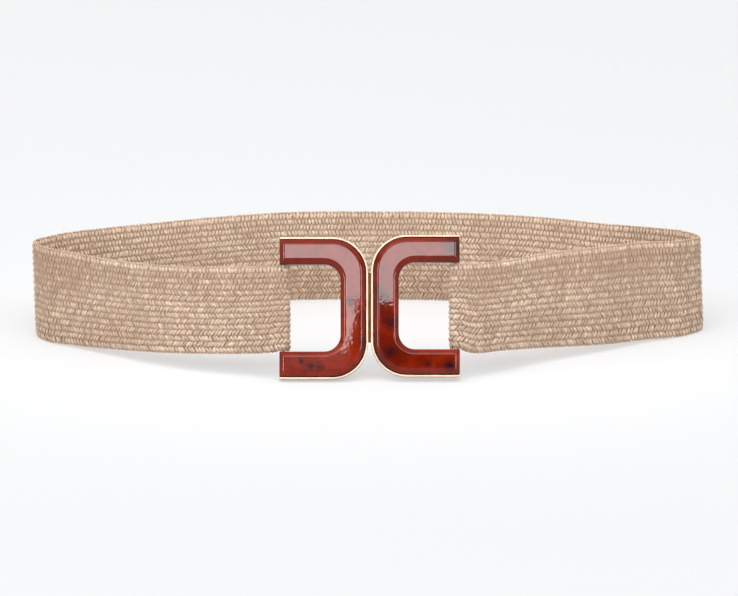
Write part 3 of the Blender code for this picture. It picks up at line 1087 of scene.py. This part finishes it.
def weaveBand():
    centers, wide, thick, tintsAndShades = joinPasses(*makeYarnCenters())
    sides = weave["sides"]
    rings = ringPoints(centers, wide, thick, sides, math.pi / 6)
    places = placeRings(rings).reshape(-1, sides, 3)
    travelled = wayAlong(centers) * 1000
    height = np.clip(np.abs(rings[:, :, 2]) / weaveTop, 0, 1)
    edgeShare = np.abs(rings[:, :, 1]) / (widthAt(rings[:, :, 0].ravel()).reshape(-1, sides) / 2)
    height = np.maximum(height, np.clip((edgeShare - 0.975) / 0.02, 0, 1) * 0.8)
    cuts = np.linspace(0, len(centers), weave["pieces"] + 1).astype(int)
    for number in range(weave["pieces"]):
        part = slice(cuts[number], cuts[number + 1] + (1 if number < weave["pieces"] - 1 else 0))
        size = len(centers[part])
        piece = buildTubes("wovenYarn%d" % (number + 1), places[part].reshape(-1, 3), np.array([size]), sides,
                           travelled[part], {"tintAndShade": np.repeat(np.clip(tintsAndShades[part], -1, 1), sides),
                                             "height": height[part].ravel()})
        finishPiece(piece, jute, "woven_jute", "band")
    print("band woven:", len(centers), "rings of yarn")


weaveBand()


# the elastic inside the band, seen only down between the stitches

core = {
    "halfThick": 0.00024,
    "edge": 0.0013,            # how far it stays inside the weave's edges and ends
    "end": 0.0006,
    "stations": 420,
}


def makeCore():
    s = np.linspace(core["end"], runLength - core["end"], core["stations"])
    half = widthAt(s) / 2 - core["edge"]
    rings = []
    for v, n in ((-half, 1), (half, 1), (half, -1), (-half, -1)):
        rings.append(onRun(s, v, np.full(len(s), core["halfThick"] * n)))
    places = np.stack(rings, axis=1).reshape(-1, 3)
    piece = buildTubes("bandCore", places, np.array([len(s)]), 4, s * 1000, {})
    finishPiece(piece, elastic, "woven_jute", "band")
    print("elastic core made")


makeCore()


# loose fibres on the yarn

fibres = {
    "count": 4200,
    "length": (0.0012, 0.0045),
    "halfThick": 0.000042,
    "bend": 1.1,
    "rise": 0.0007,            # how far the longest stand off the weave
    "fromEnds": 0.002,
    "fromEdges": 0.0008,
    "fromFloor": 0.0006,
    "rings": 5,
    "sides": 3,
}


def makeFibres():
    count = fibres["count"]
    along = np.linspace(0, 1, fibres["rings"])
    length = chance.uniform(*fibres["length"], count)
    heading = chance.uniform(0, math.tau, count)[:, None]
    heading = heading + chance.normal(0, fibres["bend"], count)[:, None] * along
    stride = length[:, None] / (fibres["rings"] - 1)
    start = chance.uniform(fibres["fromEnds"], runLength - fibres["fromEnds"], count)
    s = start[:, None] + np.cumsum(np.cos(heading), axis=1) * stride
    start = chance.uniform(-0.5, 0.5, count) * (widthAt(s[:, 0]) - 2 * fibres["fromEdges"])
    v = start[:, None] + np.cumsum(np.sin(heading), axis=1) * stride
    v = np.maximum(v, fibres["fromFloor"] - widthAt(s) / 2)
    face = chance.choice([-1.0, 1.0], count)
    rise = chance.uniform(0.1, 1.0, count)[:, None] ** 2 * fibres["rise"]
    n = face[:, None] * (weaveTop * 0.9 + rise * np.sin(along * chance.uniform(1.2, 3.0, count)[:, None]))
    half = np.full((count, fibres["rings"]), fibres["halfThick"]) * (1 - 0.6 * along ** 2)
    centers = np.stack([s, v, n], axis=-1)
    places = placeRings(ringPoints(centers, half, half, fibres["sides"]))
    uvAlong = (along[None, :] * length[:, None]).ravel() * 1000
    tintAndShade = np.repeat(chance.uniform(0.4, 1.0, count), fibres["rings"] * fibres["sides"])
    piece = buildTubes("looseFibres", places, np.full(count, fibres["rings"]), fibres["sides"], uvAlong,
                       {"tintAndShade": tintAndShade, "height": np.ones(len(tintAndShade))})
    finishPiece(piece, jute, "woven_jute", "band")
    print("loose fibres made:", count)


makeFibres()


# the seams that hold the folded ends

seams = {
    "fromEnd": (0.0042, 0.0082),   # from the strip's cut end
    "stitch": 0.0029,
    "spacing": 0.0037,
    "halfThick": 0.00026,
    "rings": 9,
    "sides": 6,
    "margin": 0.0026,
    "stray": (0.00012, 0.0001),    # across and along each row
}


def sewTabs():
    along = np.linspace(0, 1, seams["rings"])
    centers = []
    for offset in seams["fromEnd"]:
        for station in (offset, runLength - offset):
            reach = float(widthAt(station)) / 2 - seams["margin"]
            for low in np.arange(-reach, reach - seams["stitch"], seams["spacing"]):
                stray = chance.normal(0, seams["stray"][0], 2)
                s = station + stray[0] + (stray[1] - stray[0]) * along
                v = low + chance.normal(0, seams["stray"][1]) + seams["stitch"] * along
                n = weaveTop * (1.12 - 1.25 * np.abs(2 * along - 1) ** 5)
                centers.append(np.stack([s, v, n], axis=-1))
    centers = np.array(centers)
    half = np.full(centers.shape[:2], seams["halfThick"])
    places = placeRings(ringPoints(centers, half, half, seams["sides"]))
    uvAlong = np.tile(along * seams["stitch"] * 1000, len(centers))
    piece = buildTubes("tabSeams", places, np.full(len(centers), seams["rings"]), seams["sides"], uvAlong, {})
    finishPiece(piece, thread, "woven_jute", "band")
    print("tab seams sewn:", len(centers), "stitches")


sewTabs()


# floor and light

studio = {
    "floorSize": 9,
    "floorColour": (0.488, 0.494, 0.503, 1),
    "floorGlow": 0.41,         # lit from beneath like a light table, so shadows stay pale
    # sky brightness by height above the horizon; the dim band is what the resin's lower half mirrors
    "sky": ((0.0, 0.77), (0.36, 0.77), (0.39, 0.07), (0.455, 0.07), (0.60, 0.84), (1.0, 0.84)),
}

buckleFace = (buckleFoot.x, -0.05, 0.033)

# name, place, width and height, watts, what it faces, its roll in degrees,
# and whether it is seen in reflections only ("shine") or lights matt surfaces only ("matt")
lights = (
    ("keyShine", (-0.34, -0.85, 1.65), (2.0, 1.2), 18.0, (0, 0, 0), 0, "shine"),
    ("keyLight", (-0.34, -0.85, 1.65), (2.0, 1.2), 8.0, (0, 0, 0), 0, "matt"),
    ("domeLight", (-1.0, -1.4, 2.4), (5.0, 4.0), 58.0, (0, 0, 0), 0, "matt"),
    ("backShine", (0.0, 1.1, 1.4), (3.0, 1.2), 5.8, (0, 0.85, 0), 0, "shine"),
    ("backLight", (0.0, 1.1, 1.4), (3.0, 1.2), 3.4, (0, 0.85, 0), 0, "matt"),
    # a small fill over the loop for the far side's inner face
    ("loopLight", (0.0, -0.058, 0.175), (0.32, 0.05), 0.15, (0, 0.07, 0.03), 0, "matt"),
    # these draw the thin lines on the resin's bevels
    ("stripLight0", (-1.25, -0.95, 0.50), (0.45, 0.80), 16.0, buckleFace, 0, "shine"),
    ("stripLight1", (1.25, -0.95, 0.50), (0.45, 0.80), 16.0, buckleFace, 0, "shine"),
    # and these the bright patches on its faces
    ("frontCard", (0.0, -1.425, 0.849), (1.1, 0.26), 12.0, buckleFace, 0, "shine"),
    ("sideCard", (-0.1630, -1.4607, 0.7357), (0.30, 0.050), 0.63, buckleFace, -12.6, "shine"),
    ("glowCard", (-0.105, -1.4819, 0.6880), (0.17, 0.066), 0.046, buckleFace, 0, "shine"),
)


def addAreaLight(name, place, size, power, aim, roll, use):
    lamp = bpy.data.lights.new(name, "AREA")
    lamp.shape = "RECTANGLE"
    lamp.size, lamp.size_y = size
    lamp.energy = power
    light = bpy.data.objects.new(name, lamp)
    light.location = place
    facing = (Vector(aim) - Vector(place)).to_track_quat("-Z", "Y")
    light.rotation_euler = (facing @ Quaternion((0, 0, 1), math.radians(roll))).to_euler()
    light.visible_camera = False
    light.visible_diffuse = use == "matt"
    light.visible_glossy = use == "shine"
    bpy.context.scene.collection.objects.link(light)


def makeFloorPaper():
    deselectAll()
    bpy.ops.mesh.primitive_plane_add(size=studio["floorSize"])
    floor = bpy.context.object
    floor.name = "studioFloor"
    paper = newMaterial(
        "studio_paper", Roughness=0.95, Specular_IOR_Level=0.1, Base_Color=studio["floorColour"],
        Emission_Color=(1, 1, 1, 1), Emission_Strength=studio["floorGlow"])
    floor.data.materials.append(paper[0])


def makeSky():
    world = bpy.data.worlds.new("studio")
    bpy.context.scene.world = world
    world.use_nodes = True
    sky = world.node_tree
    direction = sky.nodes.new("ShaderNodeTexCoord").outputs["Generated"]
    height = addNode(sky, "ShaderNodeSeparateXYZ", Vector=direction).outputs["Z"]
    shades = addNode(sky, "ShaderNodeValToRGB", Fac=height)
    ramp = shades.color_ramp
    while len(ramp.elements) < len(studio["sky"]):
        ramp.elements.new(0.5)
    for stop, (position, light) in zip(ramp.elements, studio["sky"]):
        stop.position = position
        stop.color = (light, light, light, 1)
    background = sky.nodes["Background"]
    background.inputs["Color"].default_value = (1, 1, 1, 1)
    sky.links.new(shades.outputs["Color"], background.inputs["Strength"])


makeFloorPaper()
makeSky()
for light in lights:
    addAreaLight(*light)
bpy.context.scene.view_settings.view_transform = "Standard"
print("studio lit")
